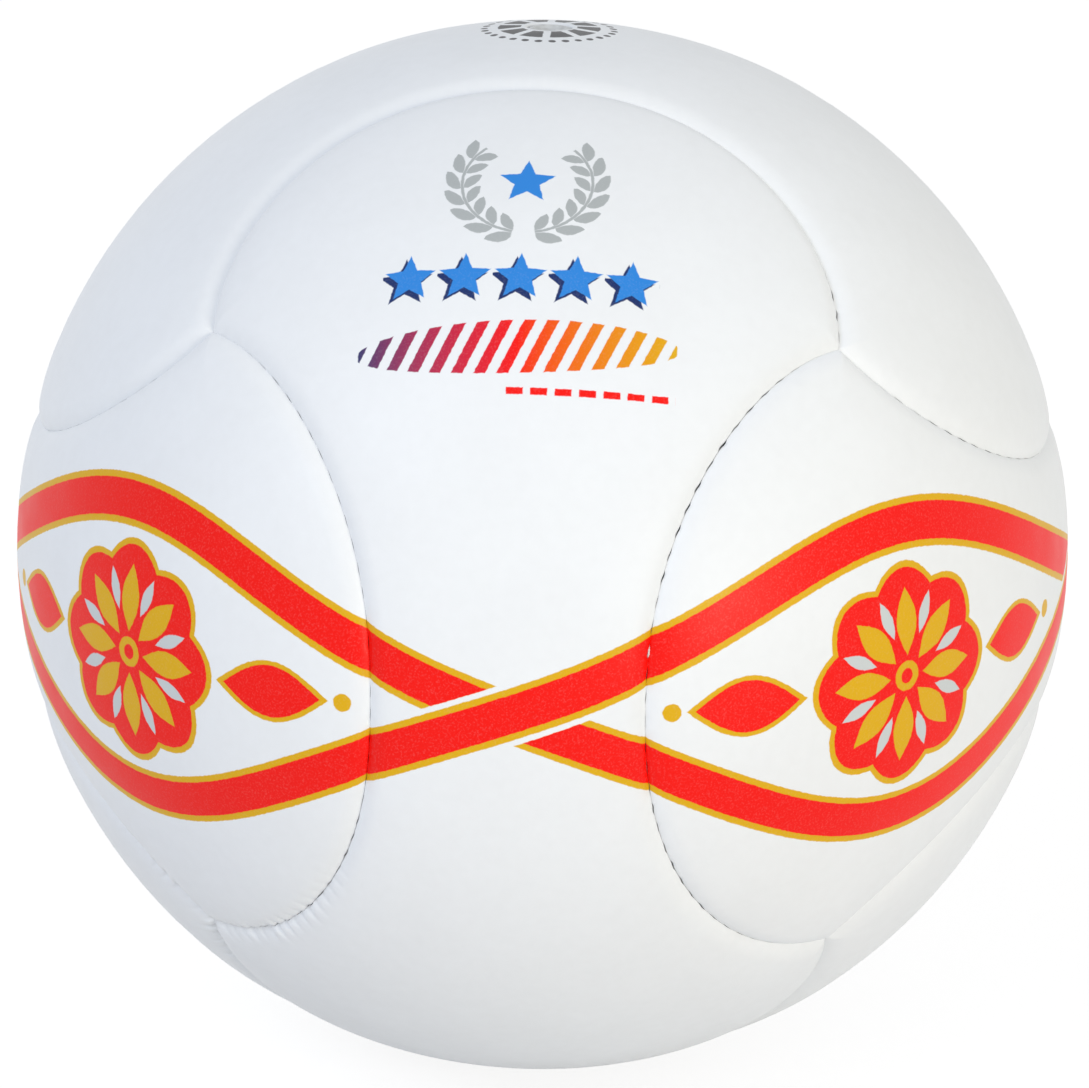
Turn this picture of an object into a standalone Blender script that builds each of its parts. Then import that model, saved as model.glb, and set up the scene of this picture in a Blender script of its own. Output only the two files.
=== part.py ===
"""A fistball: six hand-stitched leather panels over cloth linings, an air bladder and its valve.

Units are metres, +Z is up. The origin is the ball's centre, and the panel with the valve is on top.
Every panel is the same long shape, narrow at its waist and round at both ends. The six face along the
axes, and their long sides run along X on top and below, along Y left and right, along Z front and back.
"""

import math

import bmesh
import bpy
from mathutils import Matrix, Vector
from mathutils.geometry import delaunay_2d_cdt

# Driving dimensions of the ball
BALL_DIAMETER = 0.212
PANEL_WAIST = 0.0535  # width of a panel at its waist, along the surface from seam to seam
LEATHER = 0.0015
LINING = 0.0008
BLADDER_WALL = 0.0010
CLEARANCE = 0.0003  # between pieces that lie against each other

# Turned-in edges of the panels, and the thread that lies between them
FOLD_RADIUS = 0.0010  # inside the bend where the leather turns in
TURN_IN = 0.0012  # straight stretch of leather past the bend
THREAD_DIAMETER = 0.0008

# Valve
VALVE_OFFSET = 0.0070  # from the middle of the top panel towards the back, along the surface
VALVE_RECESS = 0.0004  # its flat top below the leather
VALVE_LENGTH = 0.0200
STEM_DIAMETER = 0.0085
FLANGE_DIAMETER = 0.0240
FLANGE_THICKNESS = 0.0016
CORE_DIAMETER = 0.0042
CORE_LENGTH = 0.0115
MOUTH_DIAMETER = 0.0024  # where the pump's needle goes in
OUTLET_DIAMETER = 0.0020
NEEDLE_HOLE_DIAMETER = 0.0010
LIP = 0.0030  # rubber over the core, from the valve's top to its chamber
PATCH_DIAMETER = 0.0260  # reinforced ring in the top lining

# Shape of the seams: 2 is an ellipse, and more is squarer
SEAM_SQUARENESS_ALONG = 2.25
SEAM_SQUARENESS_ACROSS = 1.94

# Fineness of the faceted surfaces
FACET = 0.018
FACET_MARGIN = 0.010  # least distance of inner points from a panel's edge
SEAM_STEPS = 12
SEAM_SAMPLES = 720  # of the seam's formula, from which the even steps are read
FOLD_STEPS = 2
ROUND_STEPS = 20
SHARP_ANGLE = math.radians(50)
WELD_DISTANCE = 0.00001

BALL_RADIUS = BALL_DIAMETER / 2
SHOULDER_RADIUS = FOLD_RADIUS + LEATHER
EDGE_INSET = CLEARANCE / 2 + SHOULDER_RADIUS
EDGE_DEPTH = SHOULDER_RADIUS + TURN_IN
LINING_RADIUS = BALL_RADIUS - LEATHER - CLEARANCE
BLADDER_RADIUS = LINING_RADIUS - LINING - CLEARANCE
CREASE_RADIUS = BALL_RADIUS - EDGE_DEPTH - 2 * CLEARANCE
UP = Vector((0, 0, 1))

# Finishes: colour and roughness
WHITE_LEATHER = ((0.86, 0.87, 0.88, 1), 0.38)
WAXED_THREAD = ((0.78, 0.77, 0.74, 1), 0.60)
LINING_CLOTH = ((0.62, 0.57, 0.47, 1), 0.90)
LATEX = ((0.55, 0.36, 0.20, 1), 0.45)
VALVE_RUBBER = ((0.66, 0.67, 0.66, 1), 0.55)
CORE_RUBBER = ((0.30, 0.29, 0.28, 1), 0.60)


def clear_scene():
    for old in list(bpy.data.objects):
        bpy.data.objects.remove(old, do_unlink=True)


def new_collection(name):
    collection = bpy.data.collections.new(name)
    bpy.context.scene.collection.children.link(collection)
    return collection


def plain_material(name, finish):
    colour, roughness = finish
    material = bpy.data.materials.new(name)
    material.use_nodes = True
    shader = material.node_tree.nodes["Principled BSDF"]
    shader.inputs["Base Color"].default_value = colour
    shader.inputs["Roughness"].default_value = roughness
    shader.inputs["Metallic"].default_value = 0.0
    material.diffuse_color = colour
    return material


def new_object(name, data, collection, material=None, parent=None):
    item = bpy.data.objects.new(name, data)
    collection.objects.link(item)
    item.parent = parent
    if material is not None:
        data.materials.clear()
        data.materials.append(material)
    return item


# Seams


def seam_point(turn):
    """Direction of a seam's point from its middle (0) to a corner (pi / 2 either way).

    The parts are towards the narrow panel's face, towards its neighbour and along the seam.
    """
    corner_latitude = math.atan(math.sqrt(0.5))
    waist = PANEL_WAIST / 2 / BALL_RADIUS
    along = abs(math.sin(turn)) ** (2 / SEAM_SQUARENESS_ALONG)
    across = max(math.cos(turn), 0.0) ** (2 / SEAM_SQUARENESS_ACROSS)
    latitude = math.copysign(corner_latitude * along, turn)
    longitude = math.pi / 4 - (math.pi / 4 - waist) * across
    ring = math.cos(latitude)
    return Vector((ring * math.cos(longitude), ring * math.sin(longitude), math.sin(latitude)))


def seam_directions():
    """Evenly spaced directions along one seam, from corner to corner."""
    curve = [seam_point(math.pi * (step / SEAM_SAMPLES - 0.5)) for step in range(SEAM_SAMPLES + 1)]
    reach = [0.0]
    for before, after in zip(curve, curve[1:]):
        reach.append(reach[-1] + (after - before).length)
    points = []
    step = 0
    for count in range(SEAM_STEPS + 1):
        target = reach[-1] * count / SEAM_STEPS
        while step < SEAM_SAMPLES - 1 and reach[step + 1] < target:
            step += 1
        share = (target - reach[step]) / (reach[step + 1] - reach[step])
        points.append(curve[step].lerp(curve[step + 1], share).normalized())
    return points


def waist_seam():
    """The top panel's long seam at the back, from +X to -X."""
    return [Vector((along, across, face)) for face, across, along in reversed(seam_directions())]


def end_seam():
    """The top panel's round end at -X, from back to front."""
    return [Vector((-face, along, across)) for face, across, along in reversed(seam_directions())]


def panel_seams():
    """Directions all round the top panel, counter-clockwise from above."""
    half = waist_seam()[:-1] + end_seam()[:-1]
    half_turn = Matrix.Rotation(math.pi, 3, "Z")
    return half + [half_turn @ point for point in half]


def inward_directions(points):
    """At each seam point, the way into the panel, lengthened at corners so that the inset stays even."""
    count = len(points)
    normals = []
    for index, point in enumerate(points):
        following = points[(index + 1) % count]
        normals.append((point + following).cross(following - point).normalized())
    inward = []
    for index in range(count):
        before = normals[index - 1]
        after = normals[index]
        inward.append((before + after) / (1 + before.dot(after)))
    return inward


def edge_loop(inset, depth):
    """Points round the top panel at a distance from its seams and a depth below the ball's surface."""
    seams = panel_seams()
    inward = inward_directions(seams)
    arc = inset / BALL_RADIUS
    loop = []
    for point, inner in zip(seams, inward):
        loop.append((point + inner * math.tan(arc)).normalized() * (BALL_RADIUS - depth))
    return loop


# Panel surface


def flatten(point):
    """Lay a point of the ball on the flat, at its arc from the top and in its own direction."""
    sideways = Vector((point.x, point.y))
    return sideways.normalized() * point.angle(UP) * BALL_RADIUS


def wrap(flat):
    """Direction of the ball's point that flatten lays at this place."""
    arc = flat.length / BALL_RADIUS
    sideways = flat.normalized() * math.sin(arc)
    return Vector((sideways.x, sideways.y, math.cos(arc)))


def is_inside(point, outline):
    inside = False
    for start, end in zip(outline, outline[1:] + outline[:1]):
        if (start.y > point.y) != (end.y > point.y):
            crossing = start.x + (end.x - start.x) * (point.y - start.y) / (end.y - start.y)
            if point.x < crossing:
                inside = not inside
    return inside


def lattice(outline):
    """Points of a triangle lattice that lie well inside an outline."""
    row_height = FACET * math.sqrt(0.75)
    rows = math.ceil(max(point.y for point in outline) / row_height)
    columns = math.ceil(max(point.x for point in outline) / FACET)
    points = []
    for row in range(-rows, rows + 1):
        shift = 0.5 * (row % 2)
        for column in range(-columns - 1, columns + 1):
            point = Vector(((column + shift) * FACET, row * row_height))
            if not is_inside(point, outline):
                continue
            if min((point - corner).length for corner in outline) > FACET_MARGIN:
                points.append(point)
    return points


def panel_pattern():
    """Directions and triangles of the top panel's surface inside its turned edge, edge points first."""
    outline = [flatten(point) for point in edge_loop(EDGE_INSET, 0)]
    count = len(outline)
    ring = [(index, (index + 1) % count) for index in range(count)]
    keep_inside = 1
    points, _, faces, *_ = delaunay_2d_cdt(outline + lattice(outline), ring, [], keep_inside, WELD_DISTANCE)
    return [wrap(point) for point in points], faces, count


def add_sheet(bm, points, faces):
    """Add triangles on the given points to a mesh and return its vertices, in the points' order."""
    verts = [bm.verts.new(point) for point in points]
    for face in faces:
        bm.faces.new([verts[index] for index in face])
    return verts


def finish_mesh(bm, name):
    mesh = bpy.data.meshes.new(name)
    bm.to_mesh(mesh)
    bm.free()
    mesh.shade_smooth()
    mesh.set_sharp_from_angle(angle=SHARP_ANGLE)
    return mesh


def panel_mesh(pattern):
    """Outer surface of a panel, rolled over at its edge and turned in towards the ball's centre."""
    directions, faces, count = pattern
    bm = bmesh.new()
    verts = add_sheet(bm, [direction * BALL_RADIUS for direction in directions], faces)
    loops = []
    for step in range(1, FOLD_STEPS + 1):
        angle = math.pi / 2 * step / FOLD_STEPS
        inset = EDGE_INSET - SHOULDER_RADIUS * math.sin(angle)
        loops.append(edge_loop(inset, SHOULDER_RADIUS * (1 - math.cos(angle))))
    loops.append(edge_loop(EDGE_INSET - SHOULDER_RADIUS, EDGE_DEPTH))
    rim = verts[:count]
    for loop in loops:
        lower = [bm.verts.new(point) for point in loop]
        for index in range(count):
            following = (index + 1) % count
            bm.faces.new((rim[following], rim[index], lower[index], lower[following]))
        rim = lower
    return finish_mesh(bm, "panel_leather")


def lining_mesh(pattern):
    directions, faces, _ = pattern
    bm = bmesh.new()
    add_sheet(bm, [direction * LINING_RADIUS for direction in directions], faces)
    return finish_mesh(bm, "lining_cloth")


def bladder_mesh(pattern, depth=0.0):
    """Closed surface at a depth in the bladder, round under the linings and creased at the seams."""
    directions, faces, count = pattern
    points = [seam * (CREASE_RADIUS - depth) for seam in panel_seams()]
    points += [direction * (BLADDER_RADIUS - depth) for direction in directions[count:]]
    bm = bmesh.new()
    for turn in PANEL_TURNS.values():
        add_sheet(bm, [turn @ point for point in points], faces)
    bmesh.ops.remove_doubles(bm, verts=bm.verts, dist=WELD_DISTANCE)
    return finish_mesh(bm, "bladder_skin")


def add_wall(item, thickness):
    """Thicken an outer surface inwards."""
    wall = item.modifiers.new("Wall", "SOLIDIFY")
    wall.thickness = thickness
    wall.offset = -1
    wall.use_even_offset = True


# Places of the six panels


def third_turn(count):
    """Thirds of a turn about the cube's diagonal, which carry X to Y, Y to Z and Z to X."""
    return Matrix.Rotation(count * math.tau / 3, 4, Vector((1, 1, 1)))


def panel_turns():
    """Turn of each panel from the top one: thirds of a turn about the cube's diagonal, and flips."""
    turns = {}
    for thirds, pair in enumerate((("top", "bottom"), ("right", "left"), ("back", "front"))):
        for flips, name in enumerate(pair):
            turns[name] = third_turn(thirds) @ Matrix.Rotation(flips * math.pi, 4, "X")
    return turns


PANEL_TURNS = panel_turns()


def panel_facing(direction):
    """Name of the panel that faces a direction."""
    return max(PANEL_TURNS, key=lambda name: (PANEL_TURNS[name] @ UP).dot(direction))


def make_panels(pattern, collection, ball):
    material = plain_material("white_leather", WHITE_LEATHER)
    mesh = panel_mesh(pattern)
    for name, turn in PANEL_TURNS.items():
        panel = new_object("panel_" + name, mesh, collection, material, ball)
        panel.matrix_local = turn
        add_wall(panel, LEATHER)


def make_linings(pattern, collection, ball):
    material = plain_material("lining_cloth", LINING_CLOTH)
    mesh = lining_mesh(pattern)
    for name, turn in PANEL_TURNS.items():
        lining = new_object("lining_" + name, mesh, collection, material, ball)
        lining.matrix_local = turn
        add_wall(lining, LINING)


def make_bladder(pattern, collection, ball):
    material = plain_material("latex", LATEX)
    bladder = new_object("bladder", bladder_mesh(pattern), collection, material, ball)
    add_wall(bladder, BLADDER_WALL)


# Thread


def thread_curve():
    """A tube that rests on both rolled edges along the top panel's seam at the back."""
    radius = THREAD_DIAMETER / 2
    to_shoulder = SHOULDER_RADIUS + radius + CLEARANCE
    depth = SHOULDER_RADIUS - math.sqrt(to_shoulder**2 - EDGE_INSET**2)
    points = [direction * (BALL_RADIUS - depth) for direction in waist_seam()]
    trim = THREAD_DIAMETER
    points[0] += (points[1] - points[0]).normalized() * trim
    points[-1] += (points[-2] - points[-1]).normalized() * trim
    curve = bpy.data.curves.new("seam_thread", "CURVE")
    curve.dimensions = "3D"
    curve.bevel_depth = radius
    curve.bevel_resolution = 1
    curve.use_fill_caps = True
    spline = curve.splines.new("POLY")
    spline.points.add(len(points) - 1)
    for place, point in zip(spline.points, points):
        place.co = (*point, 1)
    return curve


def make_threads(collection, ball):
    material = plain_material("waxed_thread", WAXED_THREAD)
    curve = thread_curve()
    half_turns = [Matrix.Identity(4)] + [Matrix.Rotation(math.pi, 4, axis) for axis in "XYZ"]
    for thirds in range(3):
        for half_turn in half_turns:
            turn = third_turn(thirds) @ half_turn
            narrow = panel_facing(turn @ UP)
            beside = panel_facing(turn @ Vector((0, 1, 0)))
            thread = new_object(f"thread_{narrow}_{beside}", curve, collection, material, ball)
            thread.matrix_local = turn


# Valve


def turned_object(name, profile, collection, material, parent):
    """A turned solid from a closed profile of (radius, height) that runs down its outer side."""
    bm = bmesh.new()
    verts = [bm.verts.new((radius, 0, height)) for radius, height in profile]
    for start, end in zip(verts, verts[1:] + verts[:1]):
        bm.edges.new((start, end))
    mesh = bpy.data.meshes.new(name)
    bm.to_mesh(mesh)
    bm.free()
    item = new_object(name, mesh, collection, material, parent)
    turning = item.modifiers.new("Turned", "SCREW")
    turning.steps = ROUND_STEPS
    turning.render_steps = ROUND_STEPS
    turning.merge_threshold = WELD_DISTANCE
    return item


def make_guide(item):
    """Keep a shape out of the ball: it only cuts or joins."""
    item.hide_render = True
    item.display_type = "WIRE"
    return item


def make_cutter(name, diameter, collection, parent):
    """A cylinder on the valve's axis, right through the wall of the ball."""
    bpy.ops.mesh.primitive_cylinder_add(vertices=ROUND_STEPS, radius=diameter / 2, depth=BALL_RADIUS)
    cutter = bpy.context.object
    cutter.name = name
    for other in list(cutter.users_collection):
        other.objects.unlink(cutter)
    collection.objects.link(cutter)
    cutter.parent = parent
    cutter.location = (0, 0, BALL_RADIUS)
    return make_guide(cutter)


def combine(item, other, operation):
    step = item.modifiers.new(other.name, "BOOLEAN")
    step.operation = operation
    step.object = other
    step.solver = "EXACT"


def valve_body_profile():
    """Down the stem to the foot, then up through the outlet, the chamber of the core and the mouth."""
    top = BALL_RADIUS - VALVE_RECESS
    foot = top - VALVE_LENGTH
    stem = STEM_DIAMETER / 2
    chamber = CORE_DIAMETER / 2 + CLEARANCE
    chamber_top = top - LIP
    chamber_bottom = chamber_top - CORE_LENGTH - 2 * CLEARANCE
    return [
        (stem, top),
        (stem, foot),
        (OUTLET_DIAMETER / 2, foot),
        (OUTLET_DIAMETER / 2, chamber_bottom),
        (chamber, chamber_bottom),
        (chamber, chamber_top),
        (MOUTH_DIAMETER / 2, chamber_top),
        (MOUTH_DIAMETER / 2, top),
    ]


def flange_profile():
    """A ring round the stem, still untrimmed on top, that thins towards its rim."""
    rim = FLANGE_DIAMETER / 2
    bore = (STEM_DIAMETER + CORE_DIAMETER) / 4 + CLEARANCE / 2
    seat = BLADDER_RADIUS - BLADDER_WALL - CLEARANCE
    under_rim = math.sqrt(seat**2 - rim**2) - FLANGE_THICKNESS
    return [
        (rim, BALL_RADIUS),
        (rim, under_rim),
        (bore, under_rim),
        (bore, BALL_RADIUS),
    ]


def valve_core_profile():
    """A plug with a needle hole right through it."""
    top = BALL_RADIUS - VALVE_RECESS - LIP - CLEARANCE
    radius = CORE_DIAMETER / 2
    hole = NEEDLE_HOLE_DIAMETER / 2
    return [
        (radius, top),
        (radius, top - CORE_LENGTH),
        (hole, top - CORE_LENGTH),
        (hole, top),
    ]


def make_valve(pattern, collection, cutters, ball):
    """The valve behind the top panel's middle, and the holes that its stem goes through."""
    axis = new_object("valve_axis", None, collection, None, ball)
    axis.rotation_euler = (-VALVE_OFFSET / BALL_RADIUS, 0, 0)
    body_rubber = plain_material("valve_rubber", VALVE_RUBBER)
    core_rubber = plain_material("core_rubber", CORE_RUBBER)
    body = turned_object("valve_body", valve_body_profile(), collection, body_rubber, axis)
    turned_object("valve_core", valve_core_profile(), collection, core_rubber, axis)

    inside_mesh = bladder_mesh(pattern, BLADDER_WALL + CLEARANCE)
    inside = make_guide(new_object("bladder_inside", inside_mesh, cutters, None, ball))
    flange = make_guide(turned_object("flange", flange_profile(), cutters, body_rubber, axis))
    combine(flange, inside, "INTERSECT")
    combine(body, flange, "UNION")

    stem_hole = make_cutter("stem_hole", STEM_DIAMETER + 2 * CLEARANCE, cutters, axis)
    patch_disc = make_cutter("patch_disc", PATCH_DIAMETER, cutters, axis)
    patch_hole = make_cutter("patch_hole", PATCH_DIAMETER + 2 * CLEARANCE, cutters, axis)
    lining = bpy.data.objects["lining_top"]
    patch = new_object("valve_patch", lining.data, collection, None, ball)
    add_wall(patch, LINING)
    combine(patch, patch_disc, "INTERSECT")
    combine(patch, stem_hole, "DIFFERENCE")
    combine(lining, patch_hole, "DIFFERENCE")
    combine(bpy.data.objects["panel_top"], stem_hole, "DIFFERENCE")
    combine(bpy.data.objects["bladder"], stem_hole, "DIFFERENCE")


def main():
    clear_scene()
    parts = new_collection("fistball")
    cutters = new_collection("cutters")
    ball = new_object("ball_centre", None, parts)
    pattern = panel_pattern()
    make_panels(pattern, parts, ball)
    make_linings(pattern, parts, ball)
    make_bladder(pattern, parts, ball)
    make_threads(parts, ball)
    make_valve(pattern, parts, cutters, ball)


main()
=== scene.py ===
"""Looks of a hand-stitched leather fistball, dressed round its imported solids.

Metres in the row frame: front -Y, right +X, up +Z, with the ball's centre at the origin.
Patterns in the materials are reckoned in millimetres.
"""

import math
from collections import namedtuple

import bmesh
import bpy
from mathutils import Matrix, Vector, kdtree, noise


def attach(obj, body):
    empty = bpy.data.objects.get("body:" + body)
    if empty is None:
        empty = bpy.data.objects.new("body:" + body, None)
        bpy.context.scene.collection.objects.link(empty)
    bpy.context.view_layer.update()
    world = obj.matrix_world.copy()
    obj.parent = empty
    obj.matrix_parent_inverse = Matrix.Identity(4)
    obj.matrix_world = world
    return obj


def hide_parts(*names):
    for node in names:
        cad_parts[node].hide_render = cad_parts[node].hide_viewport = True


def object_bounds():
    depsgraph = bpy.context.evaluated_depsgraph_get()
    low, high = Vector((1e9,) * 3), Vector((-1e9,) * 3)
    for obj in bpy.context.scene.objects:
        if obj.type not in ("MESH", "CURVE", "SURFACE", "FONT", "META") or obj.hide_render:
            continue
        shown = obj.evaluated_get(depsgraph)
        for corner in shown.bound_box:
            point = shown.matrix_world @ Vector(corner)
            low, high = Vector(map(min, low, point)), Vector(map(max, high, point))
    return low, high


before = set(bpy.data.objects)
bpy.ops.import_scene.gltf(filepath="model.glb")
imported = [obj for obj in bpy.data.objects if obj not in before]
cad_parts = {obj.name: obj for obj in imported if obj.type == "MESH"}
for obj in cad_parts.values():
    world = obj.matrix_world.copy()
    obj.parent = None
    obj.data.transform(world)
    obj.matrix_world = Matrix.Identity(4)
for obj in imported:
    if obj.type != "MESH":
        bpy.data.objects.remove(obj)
cad_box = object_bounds()

# Panels, as in the solids
BALL_RADIUS = 0.106
PANEL_WAIST = 0.0535  # width of a panel at its waist, along the surface from seam to seam
SEAM_SQUARENESS_ALONG = 2.25
SEAM_SQUARENESS_ACROSS = 1.94
CORNER_ANGLE = math.radians(120)
LEATHER = 0.0015

# Rolled edges
SLOPE_WIDTH = 0.013  # how far from a seam the leather starts to sink towards it
SLOPE_DROP = 0.0008
SLOPE_ROWS = 6
SHOULDER_WIDTH = 0.0042
SHOULDER_DROP = 0.0013
SHOULDER_TURN = math.radians(64)  # how far round the shoulder bends before it meets its neighbour
SHOULDER_ROWS = 10
LIP_SHARPNESS = math.radians(55)
LIP_DEPTH = SLOPE_DROP + SHOULDER_DROP  # where the two edges of a seam meet
THREAD_ROOM = 0.0003  # on each side of a seam, below its lips
THREAD_ROOM_DEPTH = LIP_DEPTH + 0.0004
TURN_IN_DEPTH = 0.0036
FOLD_WIDTH = 0.00165  # from a seam to the inner side of the turned-in leather
FOLD_RADIUS = 0.0010
FOLD_ROWS = 2
CORNER_REACH = 0.05  # how far a corner crowds the rows beside it

# Stitches
STITCHES = 38  # along each seam
STEPS_PER_STITCH = 12
SLIT_CLOSED = 0.000004  # half the width of a slit, at a stitch and midway between stitches
SLIT_OPEN = 0.00013
SLIT_SHARE = 0.58  # of the way from stitch to stitch
SLIT_ROUNDNESS = 0.55  # of a slit's ends, from blunt (0) to pointed (1)
SLIT_FADE = 0.0016  # how far into the leather a slit pushes its edges
SLIT_SLANT = 0.00014  # how far an open slit's two ends lean to either side of the seam
SLIT_LINE = 0.00003  # half the width of the slit that runs on between stitches
LINE_PLACES = (  # the middles of those slits
    (-0.27, -0.90, -0.33),
    (0.33, -0.82, 0.47),
    (0.32, -0.90, -0.31),
)
LINE_REACH = 0.35
CALM_CORNER = 0.018  # how far from a corner slits can open fully, and up to half of it not at all
LOOSE_PLACES = (  # where slits open: a direction, the angle it reaches to and how far they open
    ((0.33, -0.85, 0.41), 0.45, 0.7),
    ((0.32, -0.90, -0.31), 0.40, 0.5),
    ((-0.36, -0.84, -0.40), 0.40, 0.4),
    ((-0.50, -0.68, 0.54), 0.30, 0.3),
    ((0.80, -0.42, 0.42), 0.35, 0.6),
    ((0.26, -0.96, 0.09), 0.07, 0.9),
)
CORNER_SLIT = (0.587, -0.51, 0.63)
CORNER_SLIT_REACH = 0.08
CORNER_SLIT_SHARE = 1.5
SLACK = 0.25  # how far the slits open elsewhere on the front
SLACK_AT_SIDES = 0.3  # of what they do on the front
SLACK_GAIN = 2  # how fast they open from the sides to the front
SLACK_SHIFT = 0.6
SLACK_LIMIT = 1.2
SLACK_LEAST = 0.1  # where the noise is lowest
SLACK_UNEVENNESS = 0.9
SLACK_NOISE = 20  # bumps of noise in a radius of the ball
STITCH_WANDER = 0.0005
WANDER_NOISE = 11
PUCKER = 0.00003
PUCKER_SHARPNESS = 4.0  # above 1, a pucker's crease is narrower than the swelling beside it
PUCKER_SINK = 0.4  # how far a pucker's crease sinks, as a share of its swelling
PUCKER_LIP = SHOULDER_WIDTH / 4  # how far in from a seam a pucker keeps its full height
PUCKER_LENGTH = 0.0014
PUCKERS_PER_STITCH = 1.5
PUCKER_UNEVENNESS = 1.6
PUCKER_LIMITS = (0.5, 1.4)
PUCKER_NOISE = 17
DRAWN_PUCKER = 0.00068  # where the stitches are drawn tightest
DRAWN_PLACE = (-0.54, -0.62, -0.56)
DRAWN_REACH = 0.45
CREASE = 0.00001  # height of the fine wrinkles beside a seam
CREASE_SPACING = 0.0020
CREASE_LENGTH = 0.0022
DRAWN_CREASE = 0.00045
END_SHARE = 0.35  # of the puckers and wrinkles of a panel's round end, beside its waist's
LIP_REACH = 0.0004  # how far in from a seam its two edges rise and sink together

# Thread
THREAD_RADIUS = 0.00025
THREAD_DEPTH = LIP_DEPTH + 0.0006
THREAD_FLOOR = TURN_IN_DEPTH - 2 * THREAD_RADIUS
THREAD_DIP = 0.0004  # how much deeper the thread runs in most slits
THREAD_RISE = 0.0007  # how much higher it runs in a few
RISE_NOISE = 6
RISE_SHIFT = (5.2, 2.8, 0.0)  # of the noise that picks those few
RISE_STEEPNESS = 6
RISE_RARITY = 2
THREAD_TWIST = 0.0022  # length of one turn of its plies
THREAD_PLIES = 3
PLY_BULGE = 0.1  # of the thread's radius
THREAD_SIDES = 9
THREAD_TRIM = 0.0012

# Valve
VALVE_OFFSET = 0.0070
VALVE_RECESS = 0.0004
VALVE_LENGTH = 0.0200
VALVE_HOLE_RADIUS = 0.0046
VALVE_EDGE = 0.0006  # how far the leather rolls into the hole
VALVE_EDGE_ROWS = (  # shares of that roll and of the leather's thickness
    (0.45, 0.04),
    (0.1, 0.2),
    (0.0, 0.48),
    (0.0, 1.0),
    (1.0, 1.0),
)
VALVE_RIM = 0.00125  # width of the raised rim round its dished top
VALVE_DISH = 0.00025
VALVE_ROUNDING = 0.0001
VALVE_SHARPNESS = math.radians(40)
STEM_RADIUS = 0.00425
FLANGE_RADIUS = 0.0120
FLANGE_THICKNESS = 0.0016
FLANGE_SEAT = 0.1017
CHAMBER_RADIUS = 0.0024
CHAMBER_LENGTH = 0.0121
CHAMBER_LIP = 0.0030
MOUTH_RADIUS = 0.0012
OUTLET_RADIUS = 0.0010

# Meshes
SEAM_STEPS = STITCHES * STEPS_PER_STITCH
SEAM_SAMPLES = 3000
CELL = 0.005  # of a panel's middle
CELL_MARGIN = 0.0035
SHEET_HALF_LENGTH = 0.150
SHEET_HALF_WIDTH = 0.085
ROUND_STEPS = 64
WELD_DISTANCE = 0.000002

# Finishes, as linear colours
WHITE_LEATHER = (0.86, 0.875, 0.885, 1)
WORN_LEATHER = (0.80, 0.81, 0.815, 1)
# Painted shade: a near-black colour laid on the leather deep in the slits below a seam's lips, where
# shade falls between the two edges
SLIT_PAINTED_SHADE = (0.05, 0.052, 0.058, 1)
SLIT_SHADE = (0.15, 0.40)  # millimetres below a seam's lips where the dark starts and is full
LEATHER_CLOUDING = 0.4
LEATHER_ROUGHNESS = 0.40
ROUGHNESS_SPREAD = 0.08
INK_SMOOTHNESS = 0.06
LEATHER_SPECULAR = 0.18
GRAIN_STRENGTH = 0.16
GRAIN_DEPTH = 0.00005
NOISE_RANGE = (0.3, 0.7)  # where most values of soft noise lie
INK_RED = (0.92, 0.006, 0.002, 1)
INK_GOLD = (0.74, 0.42, 0.006, 1)
INK_PALE = (0.60, 0.63, 0.63, 1)
INK_GREY = (0.43, 0.455, 0.455, 1)
INK_BLUE = (0.03, 0.24, 0.70, 1)
INK_NAVY = (0.01, 0.028, 0.13, 1)
INK_DARK = (0.055, 0.057, 0.062, 1)
THREAD_WHITE = (0.80, 0.79, 0.76, 1)
THREAD_SHADE = (0.62, 0.60, 0.56, 1)
RUBBER_WHITE = (0.66, 0.67, 0.66, 1)
RUBBER_WORN = (0.50, 0.50, 0.49, 1)
RUBBER_GREY = (0.30, 0.29, 0.28, 1)
RUBBER_PALE = (0.38, 0.37, 0.35, 1)
CLOTH = (0.62, 0.57, 0.47, 1)
CLOTH_SHADE = (0.44, 0.40, 0.32, 1)
LATEX = (0.55, 0.36, 0.20, 1)
LATEX_SHADE = (0.40, 0.24, 0.12, 1)

# Studio
ROOM_LIGHT = 0.622
ROOM_TINT = (0.956, 0.977, 1.0, 1)
KEY_PLACE = (1.45, -1.75, 0.35)
KEY_COLOUR = (1.0, 0.935, 0.785)
KEY_POWER = 19.5
FILL_PLACE = (-1.2, -1.4, 1.4)
FILL_COLOUR = (0.733, 0.815, 1.0)
FILL_POWER = 15
LAMP_SIZE = 0.9
WHITE = (1, 1, 1, 1)
FLOOR_REACH = 8
FLOOR_PAINT = (0.80, 0.80, 0.80, 1)
FLOOR_SHADE = (0.22, 0.22, 0.22, 1)
FLOOR_GLOW = 0.86
CAMERA_BACK = (0.0587, -0.9501, 0.3064)
CAMERA_UP = (-0.0294, 0.3052, 0.9518)
CAMERA_DISTANCE = 13 * BALL_RADIUS
CAMERA_RIGHT = 0.0004  # how far it stands beside and below the line to the ball's centre
CAMERA_DOWN = 0.00008
CAMERA_LENS = 225.16
CAMERA_SENSOR = 36

# Prints, in millimetres
MILLIMETRES = 1000  # in a metre
RADIUS_MM = BALL_RADIUS * MILLIMETRES
RING_HEIGHT = RADIUS_MM * math.radians(58.5)  # up from the ball's middle, like the next three
STARS_HEIGHT = RADIUS_MM * math.radians(46.3)
STROKES_HEIGHT = RADIUS_MM * math.radians(38.4)
DASHES_HEIGHT = RADIUS_MM * math.radians(33.6)
GOLD_EDGE = 1.3
STROKES_REACH = 31.0  # half the length of the row of slanted strokes
STAR_HOLLOW = 0.45  # from a star's middle to its notches, as a share of its radius
INK_BLUR = 0.2
INK_GRAIN = 0.9
INK_FRAY = 0.15
INK_WEAR = 0.05  # share of worn leather that shows through the ink

# Helpers


def held(value, low, high):
    """A value kept between two limits."""
    return min(max(value, low), high)


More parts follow.
